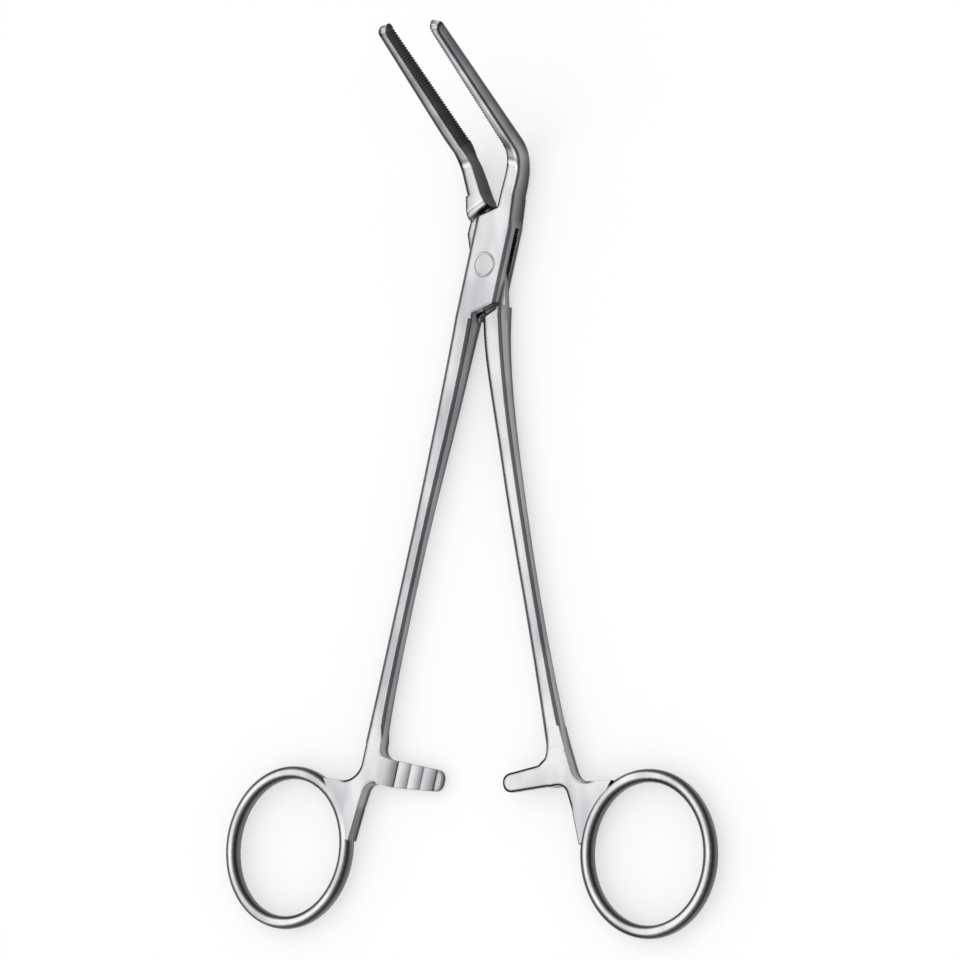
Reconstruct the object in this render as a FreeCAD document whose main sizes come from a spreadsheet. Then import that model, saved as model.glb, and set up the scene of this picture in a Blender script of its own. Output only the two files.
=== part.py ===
import FreeCAD, Part
import Sketcher
import math
import os
from FreeCAD import Vector

# Vascular clamp with a box joint, ring handles, a ratchet and jaws bent up out of the plane of opening.
# The origin is on the pin's axis, at the underside of the box joint. X is to the right, Y runs from the
# rings to the jaws and Z is up, along the pin. Each half is drawn in a frame of its own whose Y axis runs
# along its shank, and its Placement turns that frame about the pin to the half-open position.

doc = FreeCAD.newDocument("vascular_clamp")
sheet = doc.addObject("Spreadsheet::Sheet", "sizes")

# The driving sizes, in millimetres and degrees: alias, value, what it is.
sizes = [
    ("spread", 22.54, "angle between the two shanks at rest"),
    ("closing", 13.0, "angle through which the clamp closes from rest until the tips meet"),
    ("face_gap", 0.06, "room left at each tip, and at each flank, when the clamp is closed"),
    ("box_thickness", 5.3, "height of the box joint"),
    ("box_left", 4.2, "pin axis to the left flank of the box"),
    ("box_right", 4.2, "pin axis to the right flank of the box"),
    ("box_bevel", 0.62, "bevel along the flanks of the box"),
    ("cheek_low", 1.6, "thickness of the lower cheek"),
    ("slot_height", 1.7, "clear height of the slot between the cheeks"),
    ("tongue_play", 0.05, "room above and below the tongue in the slot"),
    ("cheek_front_left", 9.1, "front of the cheek at its left flank"),
    ("cheek_front", 11.8, "front of the cheek at the crotch between the jaws"),
    ("cheek_back_right", 7.0, "back of the cheek at its right flank"),
    ("cheek_back", 9.8, "back of the cheek beside the shank"),
    ("slot_wall_front", 8.3, "front end of the slot in the right flank"),
    ("slot_wall_back", 7.7, "back end of the slot in the left flank"),
    ("slot_heel", 10.2, "back end of the slot beside the shank"),
    ("shank_inner", 0.4, "pin axis to the inner edge of the left shank at the box"),
    ("pin_diameter", 4.2, "rivet pin"),
    ("pin_play", 0.04, "room between the pin and the tongue's bore, on the radius"),
    ("pin_edge", 0.05, "bevel round the ends of the pin"),
    ("punch_radius", 0.22, "centre-punch mark in the pin's head"),
    ("punch_depth", 0.12, "depth of the centre-punch mark"),
    ("jaw_angle", 62.2, "rise of the jaws out of the plane of opening"),
    ("bend_station", 22.8, "pin axis to the bend of the jaws"),
    ("jaw_length", 39.9, "bend to tip along the jaw"),
    ("jaw_height_bend", 3.6, "height of the gripping face at the bend"),
    ("jaw_height_tip", 2.7, "height of the gripping face at the tip"),
    ("jaw_top_bend", 5.05, "level of the jaw's top just before the bend"),
    ("jaw_low_bend", 0.7, "level of the jaw's underside just before the bend"),
    ("bend_radius_top", 4.5, "radius inside the bend"),
    ("bend_radius_back", 8.0, "radius outside the bend"),
    ("tip_radius", 1.25, "rounding of the tip seen from the side"),
    ("jaw_thick_root", 3.25, "jaw across, beside the box"),
    ("jaw_thick_bend", 3.05, "jaw across, at the bend"),
    ("jaw_thick_tip", 2.1, "jaw across, at the tip"),
    ("grip_radius", 4.0, "radius that runs the stretches of the gripping side into one another"),
    ("plan_radius", 18.0, "radius that runs the stretches of the jaw's back into one another"),
    ("jaw_back_radius", 1.15, "rounding along the jaw's back"),
    ("root_end", 14.5, "where the box's flanks run out into the jaws"),
    ("inner_root_box", 0.3, "gripping side of the box half's jaw at the crotch"),
    ("inner_mid_box", 0.4, "gripping side of the box half's jaw before the bend"),
    ("inner_bend_box", 0.24, "gripping side of the box half's jaw at the bend"),
    ("inner_root_tongue", -1.35, "gripping side of the tongue half's jaw at the crotch"),
    ("inner_bend_tongue", 0.24, "gripping side of the tongue half's jaw at the bend"),
    ("inner_mid_station", 18.0, "station of the gripping side before the bend"),
    ("inner_bend_station", 23.0, "station of the gripping side at the bend"),
    ("outer_bend_station", 24.0, "station of the jaw's back at the bend"),
    ("tooth_pitch", 0.76, "serrations along the jaw, crest to crest"),
    ("tooth_depth", 0.26, "depth of a serration"),
    ("tooth_slant", 30.5, "slant of the serrations from square across the jaw"),
    ("tooth_start", 4.4, "bend to the first serration"),
    ("tooth_count", 46, "serrations on one jaw"),
    ("shoulder_left", 2.0, "left end of the tongue half's back shoulder"),
    ("shoulder_right", 2.5, "right end of the tongue half's back shoulder"),
    ("shoulder_back", 10.3, "back shoulder at its left end"),
    ("shoulder_back_right", 8.75, "back shoulder at its right end"),
    ("tongue_left", 3.75, "pin axis to the left flank of the tongue"),
    ("tongue_right", 3.1, "pin axis to the right flank of the tongue"),
    ("tongue_waist", 3.4, "straight part of the tongue's flanks, before and behind the pin"),
    ("tongue_side", 7.5, "where the tongue's left flank starts to run in"),
    ("tongue_nose", 11.2, "front end of the tongue's right flank"),
    ("tongue_nose_x", 1.9, "tongue's flank at that end"),
    ("root_left", 2.5, "left end of the front shoulder"),
    ("root_back", 1.95, "tongue half's jaw root at its back"),
    ("crotch_x", 1.35, "tongue half's jaw root at its gripping side"),
    ("neck_left", 2.05, "left flank of the tongue half's neck"),
    ("neck_right", 2.05, "right flank of the tongue half's neck"),
    ("ramp_radius", 1.9, "curve from the jaw root down to the tongue"),
    ("shank_bevel", 0.6, "bevel along the edges of the shanks"),
    ("ring_across", 23.8, "finger ring's opening across"),
    ("ring_along", 27.2, "finger ring's opening along"),
    ("ring_band", 2.6, "ring's section in its plane"),
    ("ring_thick", 3.7, "ring's section along the pin's axis"),
    ("ring_tilt", 4.8, "turn of the ring's long axis against the shank"),
    ("ring_side", 17.0, "shank axis to the ring's centre"),
    ("ring_back", 120.75, "pin axis to the ring's centre, along the shank"),
    ("web_thick", 3.3, "thickness where shank, ratchet and ring meet"),
    ("web_outer_box", 4.4, "curve between shank and ring on the box half"),
    ("web_outer_tongue", 3.2, "curve between shank and ring on the tongue half"),
    ("web_inner", 2.2, "curve between shank and ratchet bar, and between bar and ring"),
    ("rack_front", 99.15, "front edge of the box half's ratchet bar"),
    ("rack_back_root", 104.35, "back edge of that bar at the shank"),
    ("rack_back_tip", 103.0, "back edge of that bar at its end"),
    ("rack_length", 13.8, "reach of that bar from the shank's axis line"),
    ("rack_step", 0.5, "where the top starts to slope down from the shank to the teeth"),
    ("rack_pitch", 2.95, "ratchet teeth"),
    ("rack_tooth", 0.6, "height of a ratchet tooth"),
    ("rack_first", 3.45, "first ratchet tooth's face"),
    ("rack_teeth", 3, "full ratchet teeth"),
    ("rack_play", 0.1, "height between the two bars where they pass"),
    ("catch_front", 100.2, "front edge of the tongue half's ratchet bar at its end"),
    ("catch_front_root", 98.0, "front edge of that bar inside the shank"),
    ("catch_knee", 1.6, "start of the curve from the shank to that bar, across"),
    ("catch_knee_front", 98.75, "start of that curve, along"),
    ("catch_heel", 3.3, "end of that curve, across"),
    ("catch_heel_front", 99.85, "end of that curve, along"),
    ("catch_back_root", 104.4, "back edge of that bar at the shank"),
    ("catch_back_tip", 103.8, "back edge of that bar at its end"),
    ("catch_first", 2.5, "first tooth's face on that bar"),
    ("catch_length", 11.4, "reach of that bar from the shank's axis line"),
    ("bar_corner", 1.7, "rounding of the ratchet bars' ends in plan"),
    ("far", 30.0, "reach of a cut that must run clear of the steel"),
]

# The shanks' sections: station behind the pin, then centre line, width and thickness in each half.
shank_stations = [11.0, 15.5, 27.0, 47.0, 67.0, 87.0, 97.0]
shank_thickness = [5.2, 4.6, 3.8, 3.1, 2.8, 3.1, 3.35]
box_half_centres = [-2.3, -2.3, -2.3, -2.52, -2.7, -2.6, -2.35]
box_half_widths = [3.8, 3.8, 3.7, 3.05, 2.95, 3.15, 3.7]
tongue_half_centres = [0.0, -0.6, -1.16, -1.14, -0.59, 0.29, 0.8]
tongue_half_widths = [4.1, 4.1, 3.55, 3.15, 2.95, 3.3, 3.9]

# The web's outline in plan for each half, anticlockwise from the shank's outer edge.
web_corners = {
    "box": [(-3.0, -93.0), (-3.7, -97.0), (-3.7, -105.0), (-12.0, -105.6), (-6.9, -111.3), (-4.9, -115.8),
            (-3.2, -116.5), (-2.7, -109.5), (-2.1, -104.35), (3.45, -104.35), (3.45, -99.15), (-0.45, -99.0),
            (-0.55, -96.0), (-1.3, -93.0)],
    "tongue": [(2.2, -93.0), (2.75, -97.0), (4.0, -104.5), (12.0, -105.6), (6.9, -111.3), (4.9, -115.8),
               (3.2, -116.5), (2.75, -109.5), (1.9, -104.4), (-1.6, -104.4), (-1.6, -98.75), (-1.1, -97.7),
               (-0.75, -96.0), (0.1, -93.0)],
}
# The corners of that outline that are curves, and their radius.
web_rounding = {"box": {2: "web_outer_box", 8: "web_inner", 11: "web_inner"},
                "tongue": {2: "web_outer_tongue", 8: "web_inner"}}

row = 0


def write_cell(alias, content, meaning):
    """Put one named value in the sheet."""
    global row
    row += 1
    sheet.set("A%d" % row, meaning)
    sheet.set("B%d" % row, str(content))
    sheet.setAlias("B%d" % row, alias)


for alias, number, meaning in sizes:
    write_cell(alias, number, meaning)
for index, station in enumerate(shank_stations):
    write_cell("station_%d" % index, station, "shank section behind the pin")
    write_cell("thick_%d" % index, shank_thickness[index], "shank thickness there")
    write_cell("box_centre_%d" % index, box_half_centres[index], "box half's centre line there")
    write_cell("box_width_%d" % index, box_half_widths[index], "box half's width there")
    write_cell("tongue_centre_%d" % index, tongue_half_centres[index], "tongue half's centre line there")
    write_cell("tongue_width_%d" % index, tongue_half_widths[index], "tongue half's width there")

for which, corners in web_corners.items():
    for index, (across, along) in enumerate(corners):
        write_cell("web_%s_x%d" % (which, index), across, "web's outline, across")
        write_cell("web_%s_y%d" % (which, index), along, "web's outline, along")

# Values that follow from the driving sizes.
derived = [
    ("middle", "=box_thickness / 2", "mid level of shanks and rings"),
    ("rise_y", "=cos(jaw_angle)", "jaw direction, along"),
    ("rise_z", "=sin(jaw_angle)", "jaw direction, up"),
    ("tip_y", "=bend_station + jaw_length * rise_y", "tip's centre, along"),
    ("tip_z", "=middle + jaw_length * rise_z", "tip's centre, up"),
    ("tip_front_y", "=tip_y - rise_z * jaw_height_tip / 2", "tip on the inside of the bend"),
    ("tip_front_z", "=tip_z + rise_y * jaw_height_tip / 2", "tip on the inside of the bend"),
    ("tip_back_y", "=tip_y + rise_z * jaw_height_tip / 2", "tip on the outside of the bend"),
    ("tip_back_z", "=tip_z - rise_y * jaw_height_tip / 2", "tip on the outside of the bend"),
    ("bend_front_y", "=bend_station - rise_z * jaw_height_bend / 2", "bend, inside"),
    ("bend_front_z", "=middle + rise_y * jaw_height_bend / 2", "bend, inside"),
    ("bend_back_y", "=bend_station + rise_z * jaw_height_bend / 2", "bend, outside"),
    ("bend_back_z", "=middle - rise_y * jaw_height_bend / 2", "bend, outside"),
    ("front_run", "=(tip_front_y - bend_front_y) / (tip_front_z - bend_front_z)", "slope inside"),
    ("back_run", "=(tip_back_y - bend_back_y) / (tip_back_z - bend_back_z)", "slope outside"),
    ("top_corner_y", "=bend_front_y + (jaw_top_bend - bend_front_z) * front_run", "corner inside"),
    ("low_corner_y", "=bend_back_y + (jaw_low_bend - bend_back_z) * back_run", "corner outside"),
    ("closed_half", "=(spread - closing) / 2", "shank against the mid line when closed"),
    ("inner_tip", "=tip_back_y * tan(closed_half) - face_gap", "gripping side at the tip, off the shank's line"),
    ("tip_clear", "=tip_back_y + 2", "just past the tip"),
    ("inner_slope", "=(inner_tip + inner_bend_box) / (tip_back_y - inner_bend_station)", "gripping side in plan"),
    ("bend_drift", "=inner_slope * (outer_bend_station - inner_bend_station)", "drift between those stations"),
    ("inner_clear", "=inner_tip + 2 * inner_slope", "gripping side carried past the tip"),
    ("outer_root_box", "=inner_root_box + jaw_thick_root", "back of the box half's jaw at the box"),
    ("outer_mid_box", "=inner_mid_box + jaw_thick_root", "back of the box half's jaw before the bend"),
    ("outer_bend_box", "=inner_bend_box - bend_drift + jaw_thick_bend", "back of the box half's jaw at the bend"),
    ("outer_clear", "=inner_clear - jaw_thick_tip", "back of the jaw carried past the tip"),
    ("outer_root_tongue", "=inner_root_tongue + jaw_thick_root + 0.05", "back of the tongue half's jaw at the box"),
    ("outer_bend_tongue", "=inner_bend_tongue - bend_drift + jaw_thick_bend", "back of that jaw at the bend"),
    ("tongue_low", "=cheek_low + tongue_play", "underside of the tongue"),
    ("tongue_thick", "=slot_height - 2 * tongue_play", "thickness of the tongue"),
    ("lock_turn", "=spread - closing", "one half against the other when closed"),
    ("front_a_x", "=box_left * cos(lock_turn) - (cheek_front_left + 2 * face_gap) * sin(lock_turn)",
     "front shoulder that meets the cheek's front, left end"),
    ("front_a_y", "=box_left * sin(lock_turn) + (cheek_front_left + 2 * face_gap) * cos(lock_turn)",
     "front shoulder that meets the cheek's front, left end"),
    ("front_b_x", "=inner_root_box * cos(lock_turn) + (cheek_front + 2 * face_gap) * sin(lock_turn)",
     "front shoulder that meets the cheek's front, right end"),
    ("front_b_y", "=(cheek_front + 2 * face_gap) * cos(lock_turn) - inner_root_box * sin(lock_turn)",
     "front shoulder that meets the cheek's front, right end"),
    ("front_slope", "=(front_b_y - front_a_y) / (front_b_x + front_a_x)", "slope of that shoulder"),
    ("far_back", "=box_left + 3", "clear of the box's flank"),
    ("front_clear", "=cheek_front + 1", "clear of the cheek's front"),
    ("slot_mouth", "=cheek_back + 2.2", "slot carried behind the cheek"),
    ("slot_inner", "=shank_inner + 0.5", "slot beside the shank"),
    ("bar_low", "=middle - web_thick / 2", "underside of the ratchet bars' place"),
    ("web_top", "=middle + web_thick / 2", "top of the ratchet bars' place"),
    ("rack_top", "=middle - rack_play / 2", "crests of the lower ratchet bar"),
    ("rack_thick", "=rack_top - bar_low", "thickness of the lower ratchet bar"),
    ("catch_low", "=middle + rack_play / 2", "crests of the upper ratchet bar"),
    ("catch_thick", "=bar_low + web_thick - catch_low", "thickness of the upper ratchet bar"),
    ("punch_level", "=box_thickness - punch_depth", "bottom of the centre-punch mark"),
    ("pin_radius", "=pin_diameter / 2", "radius of the pin"),
    ("pin_face", "=pin_radius - pin_edge", "flat of the pin's head"),
    ("pin_edge_top", "=box_thickness - pin_edge", "level of the upper bevel"),
    ("bore_radius", "=pin_radius + pin_play", "bore of the tongue"),
    ("ring_path_across", "=ring_across + ring_band", "ring's centre line across"),
    ("ring_path_along", "=ring_along + ring_band", "ring's centre line along"),
    ("bore_diameter", "=2 * bore_radius", "bore of the tongue"),
    ("front_left_y", "=front_a_y - (root_left - front_a_x) * front_slope", "front shoulder's left end"),
    ("tongue_side_front", "=front_left_y + 0.4", "tongue's left flank runs under the jaw root"),
    ("crotch_in", "=crotch_x - 0.4", "tongue's end inside the jaw root"),
    ("root_in", "=root_back - 0.4", "tongue's end inside the jaw root"),
    ("rack_front_tip", "=rack_front - 0.3", "front edge of the lower bar at its end"),
    ("rack_valley", "=rack_top - rack_tooth", "foot of the lower bar's teeth"),
    ("rack_over", "=rack_top + 6", "clear above the lower bar"),
    ("rack_second", "=rack_first + rack_pitch", "second ratchet tooth's face"),
    ("rack_cut", "=rack_back_root + 0.6", "back of the tooth cuts"),
    ("rack_cut_length", "=rack_back_root - rack_front + 1.2", "length of the tooth cuts"),
    ("bar_start", "=shank_inner + 1.2", "where a ratchet bar starts inside the shank"),
    ("catch_second", "=catch_first + rack_pitch", "second tooth's face on the upper bar"),
    ("catch_valley", "=catch_low + rack_tooth", "foot of the upper bar's teeth"),
    ("catch_under", "=catch_low - 6", "clear below the upper bar"),
]
for alias, formula, meaning in derived:
    write_cell(alias, formula, meaning)
doc.recompute()


def value(name):
    """The number in a named cell; a leading minus turns its sign."""
    if name == "0":
        return 0.0
    if name.startswith("-"):
        return -float(sheet.get(name[1:]))
    return float(sheet.get(name))


def bound(name):
    """The expression that ties a property to a named cell."""
    if name.startswith("-"):
        return "-sizes." + name[1:]
    return "sizes." + name


def flip(name):
    """The same cell with the other sign."""
    return name[1:] if name.startswith("-") else "-" + name


def origin_plane(body, role):
    """One of the three planes of a body's own origin."""
    return [feature for feature in body.Origin.OriginFeatures if feature.Role == role][0]


def new_sketch(body, name, role, lift=None):
    """An empty sketch on a plane of the body's origin, lifted along the plane's normal by a named cell."""
    sketch = body.newObject("Sketcher::SketchObject", name)
    sketch.AttachmentSupport = [(origin_plane(body, role), "")]
    sketch.MapMode = "FlatFace"
    if lift:
        sketch.setExpression("AttachmentOffset.Base.z", bound(lift))
    return sketch


def pin_point(sketch, corner, kind, number, expression):
    """Hold one coordinate of a corner at an expression, or on the axis where it is nought."""
    if expression == "0":
        axis = -2 if kind == "DistanceX" else -1
        sketch.addConstraint(Sketcher.Constraint("PointOnObject", corner, 1, axis))
        return
    place = sketch.addConstraint(Sketcher.Constraint(kind, -1, 1, corner, 1, number))
    sketch.setExpression("Constraints[%d]" % place, expression)


def round_corner(sketch, points, expressions, index, radius):
    """Swap one corner of an outline for an arc that touches the sides on either hand."""
    here, before, after = [Vector(*points[(index + shift) % len(points)], 0) for shift in (0, -1, 1)]
    into, out = (here - before).normalize(), (after - here).normalize()
    turn = math.atan2(into.cross(out).z, into.dot(out))
    left = 1 if turn > 0 else -1
    size = value(radius)
    touch = here - into * size * math.tan(abs(turn) / 2)
    centre = touch + Vector(-into.y, into.x, 0) * left * size
    first = math.atan2(touch.y - centre.y, touch.x - centre.x)
    ends = sorted((first, first + turn))
    arc = sketch.addGeometry(Part.ArcOfCircle(Part.Circle(centre, Vector(0, 0, 1), size), *ends), False)
    corner = sketch.addGeometry(Part.Point(here), True)
    pin_point(sketch, corner, "DistanceX", points[index][0], expressions[index][0])
    pin_point(sketch, corner, "DistanceY", points[index][1], expressions[index][1])
    previous = (index - 1) % len(points)
    arc_in, arc_out = (1, 2) if left > 0 else (2, 1)
    sketch.addConstraint([
        Sketcher.Constraint("Tangent", previous, 2, arc, arc_in),
        Sketcher.Constraint("Tangent", index, 1, arc, arc_out),
        Sketcher.Constraint("PointOnObject", corner, 1, previous),
        Sketcher.Constraint("PointOnObject", corner, 1, index),
    ])
    place = sketch.addConstraint(Sketcher.Constraint("Radius", arc, size))
    sketch.setExpression("Constraints[%d]" % place, bound(radius))


def draw_outline(sketch, points, expressions, rounded=None):
    """A closed outline of straight sides, its corners held by expressions; rounded gives some a radius."""
    rounded = rounded or {}
    count = len(points)
    for index in range(count):
        start = Vector(points[index][0], points[index][1], 0)
        end = Vector(points[(index + 1) % count][0], points[(index + 1) % count][1], 0)
        sketch.addGeometry(Part.LineSegment(start, end), False)
    for index in range(count):
        if index in rounded:
            continue
        sketch.addConstraint(Sketcher.Constraint("Coincident", (index - 1) % count, 2, index, 1))
        pin_point(sketch, index, "DistanceX", points[index][0], expressions[index][0])
        pin_point(sketch, index, "DistanceY", points[index][1], expressions[index][1])
    for index, radius in rounded.items():
        round_corner(sketch, points, expressions, index, radius)


def outline(body, name, role, corners, lift=None, rounded=None):
    """A sketch of an outline whose corners are pairs of named cells."""
    sketch = new_sketch(body, name, role, lift)
    points = [(value(x), value(y)) for x, y in corners]
    expressions = [(x if x == "0" else bound(x), y if y == "0" else bound(y)) for x, y in corners]
    draw_outline(sketch, points, expressions, rounded)
    return sketch


def pad(body, name, sketch, length):
    """Steel added from a sketch, upwards."""
    feature = body.newObject("PartDesign::Pad", name)
    feature.Profile = sketch
    feature.setExpression("Length", bound(length))
    return feature


def cut(body, name, sketch, length=None, upwards=True):
    """Steel taken away: upwards by a named length, or both ways right through."""
    before = body.Tip.Shape.Volume
    feature = body.newObject("PartDesign::Pocket", name)
    feature.Profile = sketch
    if length:
        feature.Reversed = upwards
        feature.setExpression("Length", bound(length))
    else:
        feature.SideType = "Symmetric"
        feature.Length = 4 * value("far")
    doc.recompute()
    if feature.Shape.Volume > before - 0.01:
        raise RuntimeError(name + " cuts nothing")
    return feature


def edges_where(feature, test):
    """Names of the edges whose middle point and direction pass a test."""
    names = []
    for index, edge in enumerate(feature.Shape.Edges):
        middle = edge.valueAt((edge.FirstParameter + edge.LastParameter) / 2)
        along = edge.tangentAt((edge.FirstParameter + edge.LastParameter) / 2)
        if test(middle, along):
            names.append("Edge%d" % (index + 1))
    return names


def soften(body, name, radius, test, kind="PartDesign::Fillet"):
    """Round, or bevel, the edges of the body's last shape that pass a test."""
    doc.recompute()
    base = body.Tip
    feature = body.newObject(kind, name)
    feature.Base = (base, edges_where(base, test))
    prop = "Radius" if kind.endswith("Fillet") else "Size"
    feature.setExpression(prop, bound(radius))
    doc.recompute()
    return feature


def near(a, b, room=0.05):
    """Whether two numbers are the same within a little room."""
    return abs(a - b) < room


def jaw_plan(side, which):
    """Stations of a jaw's gripping side and back in plan, for one half; side is 1 or -1."""
    def place(name):
        return name if side > 0 else flip(name)
    plans = []
    for face in ("inner", "outer"):
        plan = [(place("%s_root_%s" % (face, which)), "root_end")]
        if which == "box":
            plan.append((place(face + "_mid_box"), "inner_mid_station"))
        plan.append((place("%s_bend_%s" % (face, which)), face + "_bend_station"))
        plan.append((place("-%s_clear" % face), "tip_clear"))
        plans.append(plan)
    return plans


def make_jaw(body, side, inner, back):
    """The bent jaw: side view extruded across, trimmed in plan, rounded along its back, serrated."""
    profile = outline(body, "jaw_side_view", "YZ_Plane", [
        ("root_end", "0"),
        ("low_corner_y", "jaw_low_bend"),
        ("tip_back_y", "tip_back_z"),
        ("tip_front_y", "tip_front_z"),
        ("top_corner_y", "jaw_top_bend"),
        ("root_end", "box_thickness"),
    ])
    blank = pad(body, "jaw_blank", profile, "far")
    blank.SideType = "Symmetric"
    soften(body, "bend_inside", "bend_radius_top",
           lambda p, t: near(p.y, value("top_corner_y")) and near(p.z, value("jaw_top_bend")))
    soften(body, "bend_outside", "bend_radius_back",
           lambda p, t: near(p.y, value("low_corner_y")) and near(p.z, value("jaw_low_bend")))
    soften(body, "tip_rounding", "tip_radius",
           lambda p, t: near(abs(t.x), 1) and p.z > value("tip_z") - value("jaw_height_tip"))
    open_side = "-far" if side > 0 else "far"
    back_side = "far" if side > 0 else "-far"
    bends = range(2, len(inner))
    grip = outline(body, "grip_trim", "XY_Plane", [(open_side, "root_end")] + inner + [(open_side, "tip_clear")],
                   None, dict.fromkeys(bends, "grip_radius"))
    cut(body, "grip_side", grip)
    rear = outline(body, "back_trim", "XY_Plane", [(back_side, "root_end")] + back + [(back_side, "tip_clear")],
                   None, dict.fromkeys(bends, "plan_radius"))
    cut(body, "back_side", rear)

    # the two long edges of the back, from root to tip
    def on_back(p, t):
        if p.y < value("root_end") + 0.1 or abs(t.z) > 0.999:
            return False
        outer = [(value(x), value(y)) for x, y in back]
        for (x0, y0), (x1, y1) in zip(outer, outer[1:]):
            if y0 - 0.01 <= p.y <= y1 + 0.01:
                return near(p.x, x0 + (x1 - x0) * (p.y - y0) / (y1 - y0), 0.5)
        return False
    soften(body, "back_rounding", "jaw_back_radius", on_back)
    serrate(body, side, inner)


def serrate(body, side, inner):
    """Fine grooves across the gripping face, slanted, one cut repeated along the jaw."""
    x0, y0 = value(inner[-2][0]), value(inner[-2][1])
    x1, y1 = value(inner[-1][0]), value(inner[-1][1])
    along = Vector(x1 - x0, y1 - y0, 0).normalize()
    outward = Vector(-side * along.y, side * along.x, 0)
    climb = math.radians(value("jaw_angle") - value("tooth_slant"))
    step = along * math.cos(climb) + Vector(0, 0, math.sin(climb))
    start_y = value("bend_station") + value("tooth_start") * value("rise_y")
    start = Vector(x0, y0, 0) + along * ((start_y - y0) / along.y)
    start.z = value("middle") + value("tooth_start") * value("rise_z")
    sketch = new_sketch(body, "groove_section", "XY_Plane")
    turn = FreeCAD.Rotation(step, outward, step.cross(outward), "XYZ")
    sketch.AttachmentOffset = FreeCAD.Placement(start, turn)
    half = value("tooth_pitch") * math.cos(math.radians(value("tooth_slant"))) / 2
    deep = value("tooth_depth")
    wide = "sizes.tooth_pitch * cos(sizes.tooth_slant) / 2"
    draw_outline(sketch, [(-half, 0.02), (0, -deep), (half, 0.02)],
                 [("-" + wide, "0.02"), ("0", "-sizes.tooth_depth"), (wide, "0.02")])
    groove = cut(body, "groove", sketch)
    rows = body.newObject("PartDesign::LinearPattern", "serrations")
    rows.Originals = [groove]
    rows.Direction = (sketch, ["H_Axis"])
    rows.setExpression("Length", "sizes.tooth_pitch * cos(sizes.tooth_slant) * (sizes.tooth_count - 1)")
    rows.setExpression("Occurrences", "sizes.tooth_count")
    body.Tip = rows
    doc.recompute()


def make_shank(body, which):
    """The slim tapering shank, an eight-sided bar through seven sections."""
    sections = []
    for index in range(len(shank_stations)):
        sketch = new_sketch(body, "shank_section_%d" % index, "XZ_Plane", "station_%d" % index)
        sketch.setExpression("AttachmentOffset.Base.x", "sizes.%s_centre_%d" % (which, index))
        sketch.setExpression("AttachmentOffset.Base.y", "sizes.middle")
        half_w = value("%s_width_%d" % (which, index)) / 2
        half_t = value("thick_%d" % index) / 2
        bevel = value("shank_bevel")
        wide = "sizes.%s_width_%d / 2" % (which, index)
        tall = "sizes.thick_%d / 2" % index
        less = " - sizes.shank_bevel"
        points = []
        expressions = []
        for across, up in ((1, 1), (-1, 1), (-1, -1), (1, -1)):
            side_point = (across * half_w, up * (half_t - bevel))
            top_point = (across * (half_w - bevel), up * half_t)
            side_names = ("%d * (%s)" % (across, wide), "%d * (%s%s)" % (up, tall, less))
            top_names = ("%d * (%s%s)" % (across, wide, less), "%d * (%s)" % (up, tall))
            if across * up > 0:
                points += [side_point, top_point]
                expressions += [side_names, top_names]
            else:
                points += [top_point, side_point]
                expressions += [top_names, side_names]
        draw_outline(sketch, points, expressions)
        sections.append(sketch)
    doc.recompute()
    shank = body.newObject("PartDesign::AdditiveLoft", "shank")
    shank.Profile = sections[0]
    shank.Sections = sections[1:]
    doc.recompute()


def draw_ellipse(sketch, across, along):
    """An ellipse about the sketch's origin whose two diameters follow named cells."""
    sketch.addGeometry(Part.Ellipse(Vector(0, value(along) / 2, 0), Vector(-value(across) / 2, 0, 0),
                                    Vector(0, 0, 0)), False)
    sketch.exposeInternalGeometry(0)
    sketch.addConstraint(Sketcher.Constraint("Coincident", 0, 3, -1, 1))
    sketch.addConstraint(Sketcher.Constraint("Vertical", 1))
    for line, name in ((1, along), (2, across)):
        place = sketch.addConstraint(Sketcher.Constraint("Distance", line, 1, line, 2, value(name)))
        sketch.setExpression("Constraints[%d]" % place, bound(name))


def make_ring(body, side):
    """The finger ring: an oval section carried round an oval path beside the shank's end."""
    tilt = FreeCAD.Rotation(Vector(0, 0, 1), side * value("ring_tilt"))
    centre = Vector(-side * value("ring_side"), -value("ring_back"), 0)
    start = centre - tilt.multVec(Vector(side * value("ring_path_across") / 2, 0, 0))
    path = new_sketch(body, "ring_path", "XY_Plane")
    path.AttachmentOffset = FreeCAD.Placement(centre + Vector(0, 0, value("middle")), tilt)
    draw_ellipse(path, "ring_path_across", "ring_path_along")
    section = new_sketch(body, "ring_section", "XY_Plane")
    upright = FreeCAD.Rotation(Vector(1, 0, 0), 90)
    section.AttachmentOffset = FreeCAD.Placement(start + Vector(0, 0, value("middle")), tilt.multiply(upright))
    draw_ellipse(section, "ring_band", "ring_thick")
    doc.recompute()
    ring = body.newObject("PartDesign::AdditivePipe", "ring")
    ring.Profile = section
    ring.Spine = (path, ["Edge1"])
    doc.recompute()


def new_half(name):
    """An empty body for one half; its pieces meet as they are added."""
    body = doc.addObject("PartDesign::Body", name)
    body.Label = name
    body.AllowCompound = True
    return body


def make_web(body, which):
    """The flat where shank, ratchet bar and ring run into one another."""
    corners = [("web_%s_x%d" % (which, index), "web_%s_y%d" % (which, index))
               for index in range(len(web_corners[which]))]
    pad(body, "web", outline(body, "web_plan", "XY_Plane", corners, "bar_low", web_rounding[which]), "web_thick")
    doc.recompute()


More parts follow.
